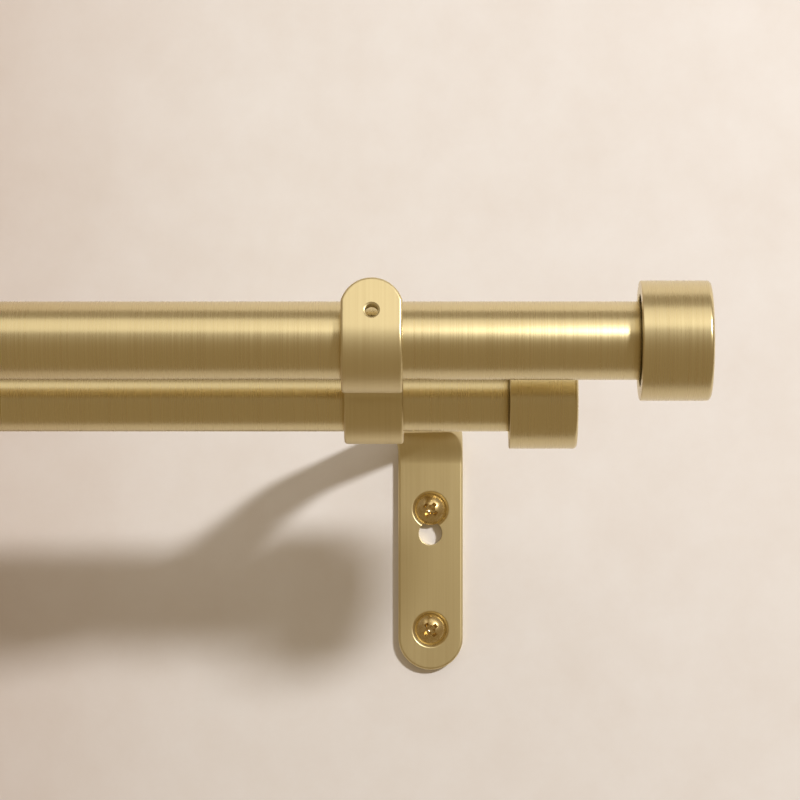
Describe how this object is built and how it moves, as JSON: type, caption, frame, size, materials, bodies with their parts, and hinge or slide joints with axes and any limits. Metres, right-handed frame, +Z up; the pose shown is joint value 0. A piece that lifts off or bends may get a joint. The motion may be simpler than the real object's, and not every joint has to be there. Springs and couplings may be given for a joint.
{
  "type": "double curtain pole",
  "caption": "Double curtain pole: a front and a smaller, lower back tube lie in folded strap wall brackets with open cups and end in plain round caps.",
  "frame": {"origin": "middle of the four wall screws, on the wall's surface", "axes": "+X along the poles, +Y into the wall, +Z up"},
  "size_m": [0.723, 0.1775, 0.1052],
  "materials": {
    "pole": "satin brass, brushed round the tube",
    "cap": "satin brass, brushed round the cap",
    "strap": "satin brass, brushed along the strap",
    "screw": "bright brass plate",
    "bush": "moulded nylon"
  },
  "bodies": {
    "root": {"front_pole": "pole", "back_pole": "pole", "front_cap_right": "cap", "front_cap_left": "cap", "back_cap_right": "cap", "back_cap_left": "cap", "front_bush_right": "bush", "front_bush_left": "bush", "back_bush_right": "bush", "back_bush_left": "bush", "bracket_right": "strap", "bracket_left": "strap", "wall_screws": "screw"}
  },
  "joints": []
}
